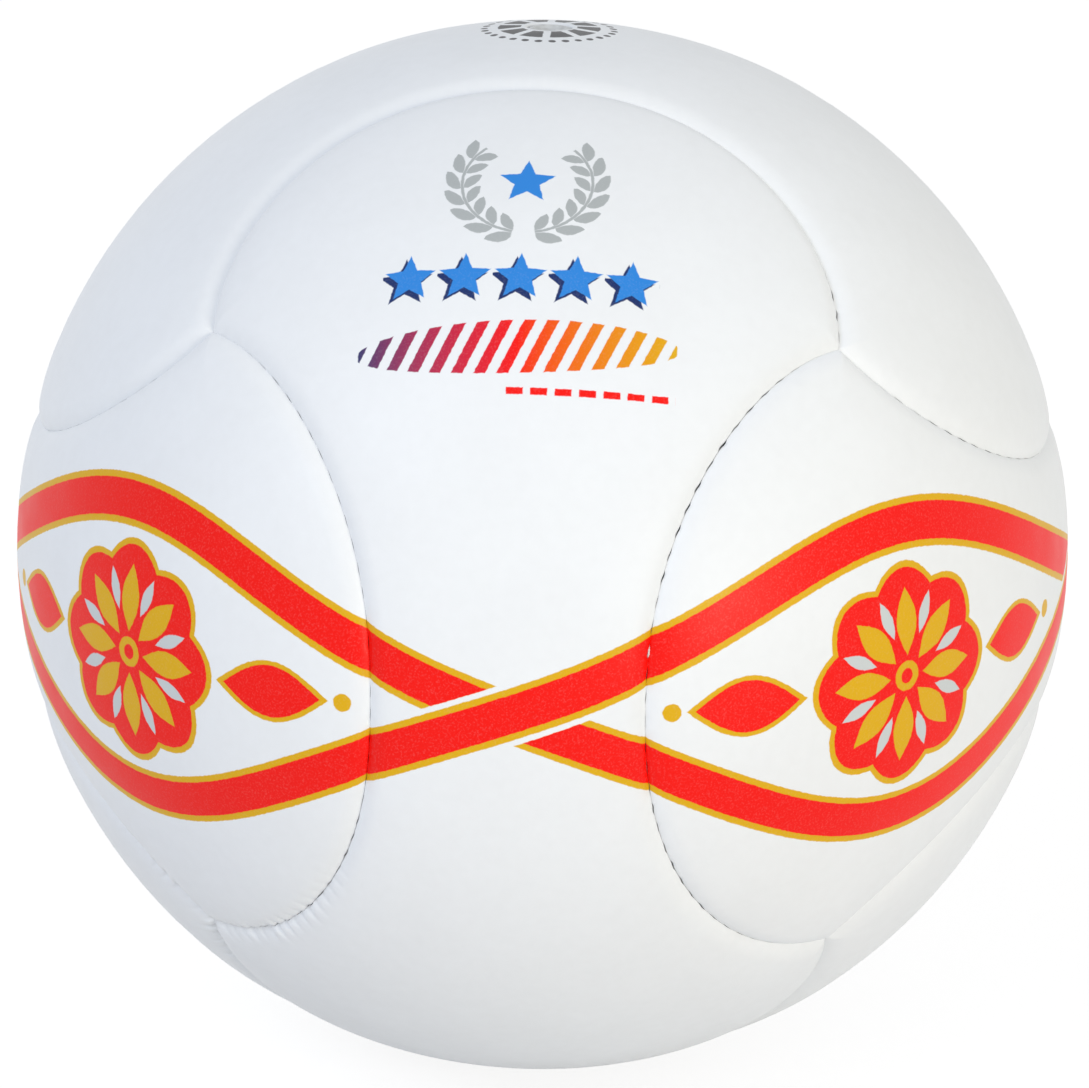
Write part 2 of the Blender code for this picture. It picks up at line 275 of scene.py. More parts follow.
def mesh_from(name, bm):
    mesh = bpy.data.meshes.new(name)
    bm.to_mesh(mesh)
    bm.free()
    return mesh


def new_object(name, data):
    item = bpy.data.objects.new(name, data)
    bpy.context.scene.collection.objects.link(item)
    return item


# Seams


def seam_point(turn):
    """Direction of a seam's point from its middle (0) to a corner (pi / 2 either way).

    The parts are towards the narrow panel's face, towards its neighbour and along the seam.
    """
    corner_latitude = math.atan(math.sqrt(0.5))
    waist = PANEL_WAIST / 2 / BALL_RADIUS
    along = abs(math.sin(turn)) ** (2 / SEAM_SQUARENESS_ALONG)
    across = max(math.cos(turn), 0.0) ** (2 / SEAM_SQUARENESS_ACROSS)
    latitude = math.copysign(corner_latitude * along, turn)
    longitude = math.pi / 4 - (math.pi / 4 - waist) * across
    ring = math.cos(latitude)
    return Vector((ring * math.cos(longitude), ring * math.sin(longitude), math.sin(latitude)))


def even_seam(steps):
    """Evenly spaced directions along one seam, from corner to corner, and the seam's length."""
    curve = [seam_point(math.pi * (0.5 - step / SEAM_SAMPLES)) for step in range(SEAM_SAMPLES + 1)]
    reach = [0.0]
    for before, after in zip(curve, curve[1:]):
        reach.append(reach[-1] + (after - before).length)
    points = []
    step = 0
    for count in range(steps + 1):
        target = reach[-1] * count / steps
        while step < SEAM_SAMPLES - 1 and reach[step + 1] < target:
            step += 1
        share = (target - reach[step]) / (reach[step + 1] - reach[step])
        points.append(curve[step].lerp(curve[step + 1], share).normalized())
    return points, reach[-1] * BALL_RADIUS


SEAM, SEAM_LENGTH = even_seam(SEAM_STEPS * 2)
SEAM_STEP = SEAM_LENGTH / SEAM_STEPS
STITCH_PITCH = SEAM_LENGTH / STITCHES


def add_inward(points):
    """Each seam point of a panel's side with the way into the panel there."""
    side = []
    for index, point in enumerate(points):
        before = points[max(index - 1, 0)]
        after = points[min(index + 1, len(points) - 1)]
        side.append((point, point.cross(after - before).normalized()))
    return side


def panel_sides():
    """The top panel's four sides, counter-clockwise from above, each from corner to corner."""
    waist = [Vector((along, across, face)) for face, across, along in SEAM]
    end = [Vector((-face, along, across)) for face, across, along in SEAM]
    half_turn = Matrix.Rotation(math.pi, 3, "Z")
    sides = [waist, end, [half_turn @ point for point in waist], [half_turn @ point for point in end]]
    return [add_inward(points) for points in sides]


PANEL_SIDES = panel_sides()


def side_place(side, distance):
    """Seam point and way in at a distance along a panel's side."""
    position = held(distance / SEAM_LENGTH, 0.0, 1.0) * (len(side) - 1)
    index = min(int(position), len(side) - 2)
    point, inward = side[index]
    next_point, next_inward = side[index + 1]
    share = position - index
    return point.lerp(next_point, share).normalized(), inward.lerp(next_inward, share).normalized()


def corner_fade(distance):
    """1 at a corner, falling to 0 where the corner no longer crowds the rows."""
    return max(0.0, 1 - distance / CORNER_REACH) ** 2


def inset_corner(number, inset):
    """Direction of the point inside a panel's corner, on the line that halves it."""
    point, inward = PANEL_SIDES[number][0]
    halving = (inward + PANEL_SIDES[number - 1][-1][1]).normalized()
    return (point + halving * math.tan(inset / math.sin(CORNER_ANGLE / 2) / BALL_RADIUS)).normalized()


def inset_line(inset):
    """Directions all round the top panel at a distance from its seams, with its corners kept."""
    crowding = inset / math.tan(CORNER_ANGLE / 2)
    line = []
    for number, side in enumerate(PANEL_SIDES):
        points = []
        for step in range(SEAM_STEPS + 1):
            distance = step * SEAM_STEP
            pull = corner_fade(distance) - corner_fade(SEAM_LENGTH - distance)
            point, inward = side_place(side, distance + crowding * pull)
            points.append((point + inward * math.tan(inset / BALL_RADIUS)).normalized())
        first_miss = inset_corner(number, inset) - points[0]
        last_miss = inset_corner((number + 1) % len(PANEL_SIDES), inset) - points[-1]
        for step, point in enumerate(points[:-1]):
            distance = step * SEAM_STEP
            closing = first_miss * corner_fade(distance) + last_miss * corner_fade(SEAM_LENGTH - distance)
            line.append((point + closing).normalized())
    return line


# Stitches


def stitch(place, distance):
    """Pull of the stitches at a place on a seam, how far the slit opens there and which way it leans.

    The pull is -1 midway between two puckers, and above 0 only in a pucker's crease.
    """
    wander = noise.noise(place * WANDER_NOISE) * STITCH_WANDER
    phase = math.tau * (distance + wander) / STITCH_PITCH
    wave = math.cos(phase)
    edge = math.cos(math.pi * SLIT_SHARE)
    opening = max(0.0, (-wave - edge) / (1 - edge)) ** SLIT_ROUNDNESS
    fold = math.cos(phase * PUCKERS_PER_STITCH)
    pull = (1 + PUCKER_SINK) * ((1 + fold) / 2) ** PUCKER_SHARPNESS - 1
    return pull, opening * slackness(place, distance), math.sin(phase)


def nearness(place, middle, reach):
    """1 at the middle, falling to 0 at an angle of reach from it."""
    return max(0.0, 1 - place.angle(Vector(middle)) / reach)


def slackness(place, distance):
    """How far the stitches let a slit open: less at the sides of the ball, and not at most corners."""
    from_corner = min(distance, SEAM_LENGTH - distance) / CALM_CORNER
    calm = held(2 * from_corner - 1, 0.0, 1.0)
    facing = held(SLACK_GAIN * abs(place.y) - SLACK_SHIFT, SLACK_AT_SIDES, 1.0)
    loose = SLACK * facing
    loose += sum(share * nearness(place, middle, reach) for middle, reach, share in LOOSE_PLACES)
    chance = max(1 + SLACK_UNEVENNESS * noise.noise(place * SLACK_NOISE), SLACK_LEAST)
    at_corner = CORNER_SLIT_SHARE * nearness(place, CORNER_SLIT, CORNER_SLIT_REACH)
    return min(loose * chance, SLACK_LIMIT) * calm + at_corner


def unbroken(place):
    """1 where a seam shows as an unbroken line, falling to 0 round it."""
    return sum(nearness(place, middle, LINE_REACH) for middle in LINE_PLACES)


Stretch = namedtuple("Stretch", "slit pucker crease share")


def pucker_height(place):
    """How far the stitches at a place on a seam draw the leather beside it in and out."""
    drawn = nearness(place, DRAWN_PLACE, DRAWN_REACH)
    unevenness = 1 + PUCKER_UNEVENNESS * noise.noise(place * PUCKER_NOISE)
    return (PUCKER + DRAWN_PUCKER * drawn) * held(unevenness, *PUCKER_LIMITS)


def edge_stretches(turn):
    """Half the slit's width, the depths of pucker and crease and their share, step by step."""
    stretches = []
    for number, side in enumerate(PANEL_SIDES):
        for step in range(SEAM_STEPS):
            distance = step * SEAM_STEP
            place = turn @ side_place(side, distance)[0]
            is_waist = number % 2 == 0
            pull, opening, lean = stitch(place, distance if is_waist else SEAM_LENGTH - distance)
            half_width = SLIT_CLOSED + SLIT_OPEN * opening + SLIT_LINE * unbroken(place)
            slit = half_width + SLIT_SLANT * opening * (lean if is_waist else -lean)
            drawn = nearness(place, DRAWN_PLACE, DRAWN_REACH)
            pucker = pull * pucker_height(place)
            wrinkle = noise.noise(place * (BALL_RADIUS / CREASE_SPACING))
            crease = wrinkle * (CREASE + DRAWN_CREASE * drawn)
            stretches.append(Stretch(slit, pucker, crease, 1 if is_waist else END_SHARE))
    return stretches


# Leather panels


def flatten(point):
    """Lay a point of the ball on the flat, at its arc from the top and in its own direction."""
    sideways = Vector((point.x, point.y, 0))
    return sideways.normalized() * point.angle(Vector((0, 0, 1))) * BALL_RADIUS


def wrap(flat):
    """Direction of the ball's point that flatten lays at this place."""
    arc = flat.length / BALL_RADIUS
    sideways = flat.normalized() * math.sin(arc)
    return Vector((sideways.x, sideways.y, math.cos(arc)))


Row = namedtuple("Row", "inset depth slit pucker crease", defaults=(0.0, 0.0, 0.0))


def edge_rows():
    """Rows from a panel's middle over its rolled edge and back along its inner side.

    Each is its inset, its depth, and its shares of what the stitches do to the edge.
    """
    rows = []
    for step in range(1, SLOPE_ROWS + 1):
        inset = SLOPE_WIDTH * (SHOULDER_WIDTH / SLOPE_WIDTH) ** (step / SLOPE_ROWS)
        rows.append((inset, 0.0))
    for step in range(1, SHOULDER_ROWS + 1):
        angle = SHOULDER_TURN * step / SHOULDER_ROWS
        inset = SHOULDER_WIDTH * (1 - math.sin(angle) / math.sin(SHOULDER_TURN))
        rows.append((inset, SHOULDER_DROP * (1 - math.cos(angle)) / (1 - math.cos(SHOULDER_TURN))))
    shaped = []
    for inset, drop in rows:
        far = 1 - inset / SLOPE_WIDTH
        slit = max(0.0, 1 - inset / SLIT_FADE) ** 2
        pucker = math.exp(-max(0.0, inset - PUCKER_LIP) / PUCKER_LENGTH) * far
        crease = math.exp(-inset / CREASE_LENGTH) * far
        shaped.append(Row(inset, drop + SLOPE_DROP * far**2, slit, pucker, crease))
    shaped.append(Row(THREAD_ROOM, THREAD_ROOM_DEPTH, 0.0, 1.0, 1.0))
    shaped.append(Row(THREAD_ROOM, TURN_IN_DEPTH))
    shaped.append(Row(FOLD_WIDTH, TURN_IN_DEPTH))
    for step in range(FOLD_ROWS + 1):
        angle = math.pi / 2 * step / FOLD_ROWS
        inset = FOLD_WIDTH + FOLD_RADIUS * (1 - math.cos(angle))
        shaped.append(Row(inset, LEATHER + FOLD_RADIUS * (1 - math.sin(angle))))
    shaped.append(Row(SLOPE_WIDTH, LEATHER))
    return shaped


def seam_finder():
    """A tree of the points on the top panel's seams, and the way into the panel at each."""
    places = [place for side in PANEL_SIDES for place in side]
    tree = kdtree.KDTree(len(places))
    for index, (point, _) in enumerate(places):
        tree.insert(point, index)
    tree.balance()
    return tree, [inward for _, inward in places]


def valve_ring(radius):
    """Flat places round the valve hole at a radius."""
    ring = []
    for step in range(ROUND_STEPS):
        angle = math.tau * step / ROUND_STEPS
        ring.append(Vector((radius * math.cos(angle), VALVE_OFFSET + radius * math.sin(angle), 0)))
    return ring


def outlying(bm, with_valve):
    """Vertices of the flat sheet that are too near a seam or the valve hole, or outside the panel."""
    tree, inward = seam_finder()
    found = []
    for vert in bm.verts:
        direction = wrap(vert.co)
        nearest, index, chord = tree.find(direction)
        outside = (direction - nearest).dot(inward[index]) < 0
        close = chord * BALL_RADIUS < SLOPE_WIDTH + CELL_MARGIN
        from_valve = (vert.co - Vector((0, VALVE_OFFSET, 0))).length
        at_valve = with_valve and from_valve < VALVE_HOLE_RADIUS + VALVE_EDGE + CELL_MARGIN / 2
        if outside or close or at_valve:
            found.append(vert)
    return found


def add_ring(bm, places, marks):
    """A closed line of edges through flat places, whose vertices carry marks."""
    layer = bm.verts.layers.int["mark"]
    verts = [bm.verts.new(place) for place in places]
    for vert, mark in zip(verts, marks):
        vert[layer] = mark
    return [bm.edges.new(pair) for pair in zip(verts, verts[1:] + verts[:1])]


def middle_mesh(with_valve):
    """The smooth middle of the top panel: a grid cut to the panel, filled out to its first row."""
    bm = bmesh.new()
    bm.verts.layers.int.new("mark")
    columns = round(2 * SHEET_HALF_LENGTH / CELL)
    rows = round(2 * SHEET_HALF_WIDTH / CELL)
    bmesh.ops.create_grid(bm, x_segments=columns, y_segments=rows, size=1)
    bmesh.ops.scale(bm, vec=(SHEET_HALF_LENGTH, SHEET_HALF_WIDTH, 1), verts=bm.verts)
    bmesh.ops.delete(bm, geom=outlying(bm, with_valve), context="VERTS")
    bmesh.ops.delete(bm, geom=[edge for edge in bm.edges if edge.is_wire], context="EDGES")
    bmesh.ops.delete(bm, geom=[vert for vert in bm.verts if not vert.link_faces], context="VERTS")
    open_edges = [edge for edge in bm.edges if edge.is_boundary]
    outline = [flatten(direction) for direction in inset_line(SLOPE_WIDTH)]
    open_edges += add_ring(bm, outline, range(1, len(outline) + 1))
    if with_valve:
        hole = valve_ring(VALVE_HOLE_RADIUS + VALVE_EDGE)
        open_edges += add_ring(bm, hole, range(-1, -len(hole) - 1, -1))
    bmesh.ops.triangle_fill(bm, use_beauty=True, edges=open_edges, normal=(0, 0, 1))
    for vert in bm.verts:
        vert.co = wrap(vert.co) * BALL_RADIUS
    return mesh_from("panel_middle", bm)


def draw_rows(bm, edges, rows):
    """Extrude an open edge row by row, each vertex to the place in the row that its mark counts off."""
    layer = bm.verts.layers.int["mark"]
    for row in rows:
        grown = bmesh.ops.extrude_edge_only(bm, edges=edges)["geom"]
        verts = {item for item in grown if isinstance(item, bmesh.types.BMVert)}
        for vert in verts:
            vert.co = row[abs(vert[layer]) - 1]
        lines = [item for item in grown if isinstance(item, bmesh.types.BMEdge)]
        edges = [line for line in lines if line.verts[0] in verts and line.verts[1] in verts]


def rolled_edge(turn, lines):
    """Places of the rows round one panel, with the slits, puckers and creases of its own seams."""
    stretches = edge_stretches(turn)
    inward = [side_place(side, step * SEAM_STEP)[1] for side in PANEL_SIDES for step in range(SEAM_STEPS)]
    rows = []
    for line, row in zip(lines, EDGE_ROWS):
        places = []
        for direction, way_in, stretch in zip(line, inward, stretches):
            shift = way_in * stretch.slit * row.slit / BALL_RADIUS
            share = stretch.share + (1 - stretch.share) * math.exp(-row.inset / LIP_REACH)
            sunk = (stretch.pucker * row.pucker + stretch.crease * row.crease) * share
            places.append((direction + shift).normalized() * (BALL_RADIUS - row.depth - sunk))
        rows.append(places)
    return rows


def rolled_hole():
    """Places of the rows from the top panel's face into the valve hole and back along its inner side."""
    rows = []
    for out, down in VALVE_EDGE_ROWS:
        ring = valve_ring(VALVE_HOLE_RADIUS + VALVE_EDGE * out)
        rows.append([wrap(flat) * (BALL_RADIUS - LEATHER * down) for flat in ring])
    return rows


EDGE_ROWS = edge_rows()


def panel_piece(name, turn, middle, lines):
    """One leather panel as a closed shell: its middle, its rolled edge and its inner side."""
    bm = bmesh.new()
    bm.from_mesh(middle)
    layer = bm.verts.layers.int["mark"]
    rim = [edge for edge in bm.edges if edge.is_boundary]
    outline = [edge for edge in rim if edge.verts[0][layer] > 0]
    hole = [edge for edge in rim if edge.verts[0][layer] < 0]
    inner = bmesh.ops.duplicate(bm, geom=bm.verts[:] + bm.edges[:] + bm.faces[:])["geom"]
    inner_verts = [item for item in inner if isinstance(item, bmesh.types.BMVert)]
    shrink = 1 - LEATHER / BALL_RADIUS
    bmesh.ops.scale(bm, vec=(shrink, shrink, shrink), verts=inner_verts)
    draw_rows(bm, outline, rolled_edge(turn.to_3x3(), lines))
    if hole:
        draw_rows(bm, hole, rolled_hole())
    bmesh.ops.remove_doubles(bm, verts=bm.verts, dist=WELD_DISTANCE)
    bmesh.ops.recalc_face_normals(bm, faces=bm.faces)
    bm.transform(turn)
    piece = new_piece(name, bm)
    piece.data.set_sharp_from_angle(angle=LIP_SHARPNESS)
    return piece


# Pieces


def new_piece(name, bm):
    """An object at the origin that rides on the ball."""
    mesh = mesh_from(name, bm)
    mesh.shade_smooth()
    piece = new_object(name, mesh)
    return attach(piece, "root")


def finish_piece(piece, material, node):
    """Give a piece its material, and hide the node that it stands in for."""
    piece.data.materials.append(material)
    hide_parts(node)


def third_turn(count):
    """Thirds of a turn about the cube's diagonal, which carry X to Y, Y to Z and Z to X."""
    return Matrix.Rotation(count * math.tau / 3, 4, Vector((1, 1, 1)))


def panel_turns():
    """Turn of each panel from the top one: thirds of a turn about the cube's diagonal, and flips."""
    turns = {}
    for thirds, pair in enumerate((("top", "bottom"), ("right", "left"), ("back", "front"))):
        for flips, name in enumerate(pair):
            turns[name] = third_turn(thirds) @ Matrix.Rotation(flips * math.pi, 4, "X")
    return turns


PANEL_TURNS = panel_turns()


def panel_facing(direction):
    """Name of the panel that faces a direction."""
    return max(PANEL_TURNS, key=lambda name: (PANEL_TURNS[name] @ Vector((0, 0, 1))).dot(direction))


def make_panels(materials):
    plain = middle_mesh(with_valve=False)
    holed = middle_mesh(with_valve=True)
    lines = [inset_line(row.inset) for row in EDGE_ROWS]
    for name, turn in PANEL_TURNS.items():
        middle = holed if name == "top" else plain
        piece = panel_piece("leather_" + name, turn, middle, lines)
        finish_piece(piece, materials[name], "panel_" + name)


# Thread


def thread_section():
    """A closed line round the plies of a thread, as the section of a curve."""
    curve = bpy.data.curves.new("thread_section", "CURVE")
    spline = curve.splines.new("POLY")
    spline.use_cyclic_u = True
    spline.points.add(THREAD_SIDES - 1)
    for index, point in enumerate(spline.points):
        angle = math.tau * index / THREAD_SIDES
        radius = THREAD_RADIUS * (1 - PLY_BULGE + PLY_BULGE * math.cos(angle * THREAD_PLIES))
        point.co = (radius * math.cos(angle), radius * math.sin(angle), 0, 1)
    return new_object("thread_section", curve)


def thread_curve(name, turn, section):
    """A twisted thread along one seam, deeper in most of the slits and higher in a few."""
    curve = bpy.data.curves.new(name, "CURVE")
    curve.dimensions = "3D"
    curve.bevel_mode = "OBJECT"
    curve.bevel_object = section
    curve.use_fill_caps = True
    spline = curve.splines.new("POLY")
    spline.points.add(SEAM_STEPS)
    length = SEAM_LENGTH - 2 * THREAD_TRIM
    for step, point in enumerate(spline.points):
        distance = THREAD_TRIM + length * step / SEAM_STEPS
        place = turn @ side_place(PANEL_SIDES[0], distance)[0]
        pull, opening, _ = stitch(place, distance)
        chance = noise.noise(place * RISE_NOISE + Vector(RISE_SHIFT))
        risen = held(RISE_STEEPNESS * chance - RISE_RARITY, 0.0, 1.0)
        depth = THREAD_DEPTH + opening * (THREAD_DIP - (THREAD_DIP + THREAD_RISE) * risen)
        depth = min(depth + max(pull, 0.0) * pucker_height(place), THREAD_FLOOR)
        point.co = (*(place * (BALL_RADIUS - depth)), 1)
        point.tilt = math.tau * distance / THREAD_TWIST
    return new_object(name, curve)


def thread_piece(name, turn, section):
    curve = thread_curve(name, turn.to_3x3(), section)
    bpy.context.view_layer.update()
    graph = bpy.context.evaluated_depsgraph_get()
    mesh = bpy.data.meshes.new_from_object(curve.evaluated_get(graph))
    bpy.data.objects.remove(curve)
    bm = bmesh.new()
    bm.from_mesh(mesh)
    bpy.data.meshes.remove(mesh)
    bmesh.ops.remove_doubles(bm, verts=bm.verts, dist=WELD_DISTANCE)
    bmesh.ops.recalc_face_normals(bm, faces=bm.faces)
    return new_piece(name, bm)


def make_threads(material):
    section = thread_section()
    half_turns = [Matrix.Identity(4)] + [Matrix.Rotation(math.pi, 4, axis) for axis in "XYZ"]
    for thirds in range(3):
        for half_turn in half_turns:
            turn = third_turn(thirds) @ half_turn
            narrow = panel_facing(turn @ Vector((0, 0, 1)))
            beside = panel_facing(turn @ Vector((0, 1, 0)))
            piece = thread_piece(f"stitching_{narrow}_{beside}", turn, section)
            finish_piece(piece, material, f"thread_{narrow}_{beside}")
    bpy.data.objects.remove(section)


# Valve


def valve_profile():
    """(radius, height) round half the valve: up its bore, over its dished top and down its outside."""
    top = BALL_RADIUS - VALVE_RECESS
    foot = top - VALVE_LENGTH
    chamber_top = top - CHAMBER_LIP
    chamber_bottom = chamber_top - CHAMBER_LENGTH
    seat_at_rim = math.sqrt(FLANGE_SEAT**2 - FLANGE_RADIUS**2)
    return [
        (OUTLET_RADIUS, foot),
        (OUTLET_RADIUS, chamber_bottom),
        (CHAMBER_RADIUS, chamber_bottom),
        (CHAMBER_RADIUS, chamber_top),
        (MOUTH_RADIUS, chamber_top),
        (MOUTH_RADIUS, top - 3 * VALVE_DISH),
        (MOUTH_RADIUS + VALVE_DISH, top - 2 * VALVE_DISH),
        (STEM_RADIUS - VALVE_RIM, top - VALVE_DISH),
        (STEM_RADIUS - VALVE_RIM + VALVE_DISH, top),
        (STEM_RADIUS - VALVE_DISH, top),
        (STEM_RADIUS, top - VALVE_DISH),
        (STEM_RADIUS, FLANGE_SEAT),
        (FLANGE_RADIUS, seat_at_rim),
        (FLANGE_RADIUS, seat_at_rim - FLANGE_THICKNESS),
        (STEM_RADIUS, seat_at_rim - FLANGE_THICKNESS),
        (STEM_RADIUS, foot),
    ]


def make_valve(material):
    bm = bmesh.new()
    verts = [bm.verts.new((radius, 0, height)) for radius, height in valve_profile()]
    edges = [bm.edges.new(pair) for pair in zip(verts, verts[1:] + verts[:1])]
    bmesh.ops.spin(
        bm, geom=verts + edges, axis=(0, 0, 1), angle=math.tau, steps=ROUND_STEPS, use_merge=True
    )
    bmesh.ops.remove_doubles(bm, verts=bm.verts, dist=WELD_DISTANCE)
    bmesh.ops.recalc_face_normals(bm, faces=bm.faces)
    sharp = [edge for edge in bm.edges if edge.calc_face_angle(0) > VALVE_SHARPNESS]
    bmesh.ops.bevel(
        bm,
        geom=sharp,
        offset=VALVE_ROUNDING,
        affect="EDGES",
        segments=2,
        profile=0.5,
        material=-1,
        clamp_overlap=True,
    )
    bm.transform(Matrix.Rotation(-VALVE_OFFSET / BALL_RADIUS, 4, "X"))
    finish_piece(new_piece("valve_stem", bm), material, "valve_body")


# Patterns


class Field:
    """A value or colour that changes over a surface: a node's output to reckon with."""

    def __init__(self, socket):
        self.socket = socket
        self.tree = socket.id_data

    def __add__(self, other):
        return reckon("ADD", self, other)

    def __sub__(self, other):
        return reckon("SUBTRACT", self, other)

    def __rsub__(self, other):
        return reckon("SUBTRACT", other, self)

    def __mul__(self, other):
        return reckon("MULTIPLY", self, other)

    def __abs__(self):
        return reckon("ABSOLUTE", self)


def feed(socket, value):
    """Link a field to a socket, or set the socket to a plain value."""
    if isinstance(value, Field):
        value.tree.links.new(value.socket, socket)
    else:
        socket.default_value = value


def add_node(tree, kind, *inputs, operation=None, **named):
    """A shader node, with inputs set in their order or by name."""
    node = tree.nodes.new("ShaderNode" + kind)
    if operation:
        node.operation = operation
    for socket, value in zip(node.inputs, inputs):
        feed(socket, value)
    for label, value in named.items():
        feed(node.inputs[label], value)
    return node


def made(tree, kind, *inputs, output=0, **named):
    """What a new shader node gives."""
    return Field(add_node(tree, kind, *inputs, **named).outputs[output])


def reckon(operation, *values):
    """A math node on fields and plain numbers."""
    tree = next(value.tree for value in values if isinstance(value, Field))
    return made(tree, "Math", *values, operation=operation)


def folded(value, period):
    """A value repeated about zero, once in every period."""
    return reckon("WRAP", value, period / 2, -period / 2)


def length_of(first, second):
    return reckon("SQRT", first * first + second * second)


def parted(reach, angle):
    """A reach at an angle, as its parts along and beside the way that the angle counts from."""
    return reach * reckon("COSINE", angle), reach * reckon("SINE", angle)


def ranged(value, start, end, low=0.0, high=1.0):
    """A value brought from one range to another and held there."""
    return made(value.tree, "MapRange", value, start, end, low, high)


def filled(distance):
    """1 inside an outline, where the distance to it is below zero, and 0 outside, with a soft edge."""
    return ranged(distance, INK_BLUR / 2, -INK_BLUR / 2)


def both(first, second):
    """Distance to what two outlines have in common."""
    return reckon("MAXIMUM", first, second)


def either(first, second):
    """Distance to two outlines together."""
    return reckon("MINIMUM", first, second)


def lay(colour, mask, ink):
    """An ink laid over a colour through a mask."""
    node = add_node(mask.tree, "Mix")
    node.data_type = "RGBA"
    for index, value in ((0, mask), (6, colour), (7, ink)):
        feed(node.inputs[index], value)
    return Field(node.outputs[2])


def leaf(along, aside, start, end, width):
    """Distance to a pointed leaf that lies along an axis from start to end."""
    swell = reckon("SINE", ranged(along, start, end, 0.0, math.pi))
    past_tips = abs(along - (start + end) / 2) - (end - start) / 2
    return both(abs(aside) - swell * width, past_tips)


def star(aside, upward, radius):
    """Distance to a five-pointed star with one point up."""
    hollow = radius * STAR_HOLLOW
    fifth = math.tau / 5
    notch_x = hollow * math.cos(fifth / 2)
    notch_y = hollow * math.sin(fifth / 2)
    slant = math.hypot(notch_y, radius - notch_x)
    reach = length_of(aside, upward)
    angle = abs(folded(reckon("ARCTAN2", aside, upward), fifth))
    along, beside = parted(reach, angle)
    return (along - radius) * (notch_y / slant) + beside * ((radius - notch_x) / slant)


# Node trees


def object_place(tree):
    """Place on the piece, in millimetres."""
    place = made(tree, "TexCoord", output="Object")
    return made(tree, "VectorMath", place, Scale=MILLIMETRES, operation="SCALE")


def parts_of(vector):
    """The three parts of a vector field."""
    return [Field(socket) for socket in add_node(vector.tree, "SeparateXYZ", vector).outputs]


def direction_of(place):
    return made(place.tree, "VectorMath", place, operation="NORMALIZE")


def distance_of(place):
    return made(place.tree, "VectorMath", place, operation="LENGTH", output="Value")


def turned(place, angles):
    """A place turned about the ball's centre."""
    return made(place.tree, "Mapping", place, Rotation=angles)


def cloudy(place, size, detail=2.0):
    """Soft noise from 0 to 1 with clouds of about a size in millimetres."""
    return made(place.tree, "TexNoise", Vector=place, Scale=1 / size, Detail=detail)


def frayed(place, size, reach):
    """A place shifted a little by noise, so that outlines drawn there are uneven."""
    clouds = made(place.tree, "TexNoise", Vector=place, Scale=1 / size, Detail=1.0, output="Color")
    return made(place.tree, "VectorMath", clouds, (2 * reach,) * 3, place, operation="MULTIPLY_ADD")


def pebbled(place, size):
    """Rounded cells of about a size in millimetres, 0 in each middle."""
    return made(place.tree, "TexVoronoi", Vector=place, Scale=1 / size, output="Distance")


def new_group(name, inputs, outputs):
    """A shader node group with named sockets: the fields that come in and where results go."""
    tree = bpy.data.node_groups.new(name, "ShaderNodeTree")
    for label, kind in inputs.items():
        tree.interface.new_socket(label, in_out="INPUT", socket_type="NodeSocket" + kind)
    for label, kind in outputs.items():
        tree.interface.new_socket(label, in_out="OUTPUT", socket_type="NodeSocket" + kind)
    coming = tree.nodes.new("NodeGroupInput").outputs
    going = tree.nodes.new("NodeGroupOutput").inputs
    return {label: Field(coming[label]) for label in inputs}, going


def use_group(name, **values):
    """Add a node group to the tree that its place is in, and return its outputs by name."""
    node = add_node(values["Place"].tree, "Group")
    node.node_tree = bpy.data.node_groups[name]
    for label, value in values.items():
        feed(node.inputs[label], value)
    return {socket.name: Field(socket) for socket in node.outputs}


def blank_material(name):
    """A material with no nodes yet, and its tree."""
    material = bpy.data.materials.new(name)
    material.use_nodes = True
    material.node_tree.nodes.clear()
    return material, material.node_tree


def new_material(name):
    """A material with one shader: the material, its tree and the shader's sockets."""
    material, tree = blank_material(name)
    shader = add_node(tree, "BsdfPrincipled")
    add_node(tree, "OutputMaterial", Field(shader.outputs[0]))
    return material, tree, shader.inputs


def add_bump(sockets, height, strength, depth):
    """Raise a surface by a height field, to a depth in metres."""
    bump = made(height.tree, "Bump", Strength=strength, Distance=depth, Height=height)
    feed(sockets["Normal"], bump)


# Leather finish and prints


def leather_group():
    """Clouding, gloss, fine grain and ink wear of coated leather, and the mask of painted shade deep in
    its slits.
    """
    outputs = dict.fromkeys(("Clouding", "Gloss", "Grain", "Speckle", "Slit"), "Float")
    fields, going = new_group("coated_leather", {"Place": "Vector"}, outputs)
    place = fields["Place"]
    broad = cloudy(place, size=22, detail=4.0)
    fine = cloudy(place, size=2.5)
    feed(going["Clouding"], ranged(broad * 0.6 + fine * 0.4, 0.38, 0.68))
    feed(going["Gloss"], ranged(cloudy(place, size=9, detail=3.0), *NOISE_RANGE))
    feed(going["Grain"], pebbled(place, size=1.1) * 0.6 + cloudy(place, size=0.5))
    feed(going["Speckle"], ranged(cloudy(place, size=0.4), 0.5, 0.75))
    # Mask of painted shade: 0 near the lips, rising to 1 deeper in the slits, where shade falls
    below_lip = RADIUS_MM - LIP_DEPTH * MILLIMETRES - distance_of(place)
    feed(going["Slit"], ranged(below_lip, *SLIT_SHADE))


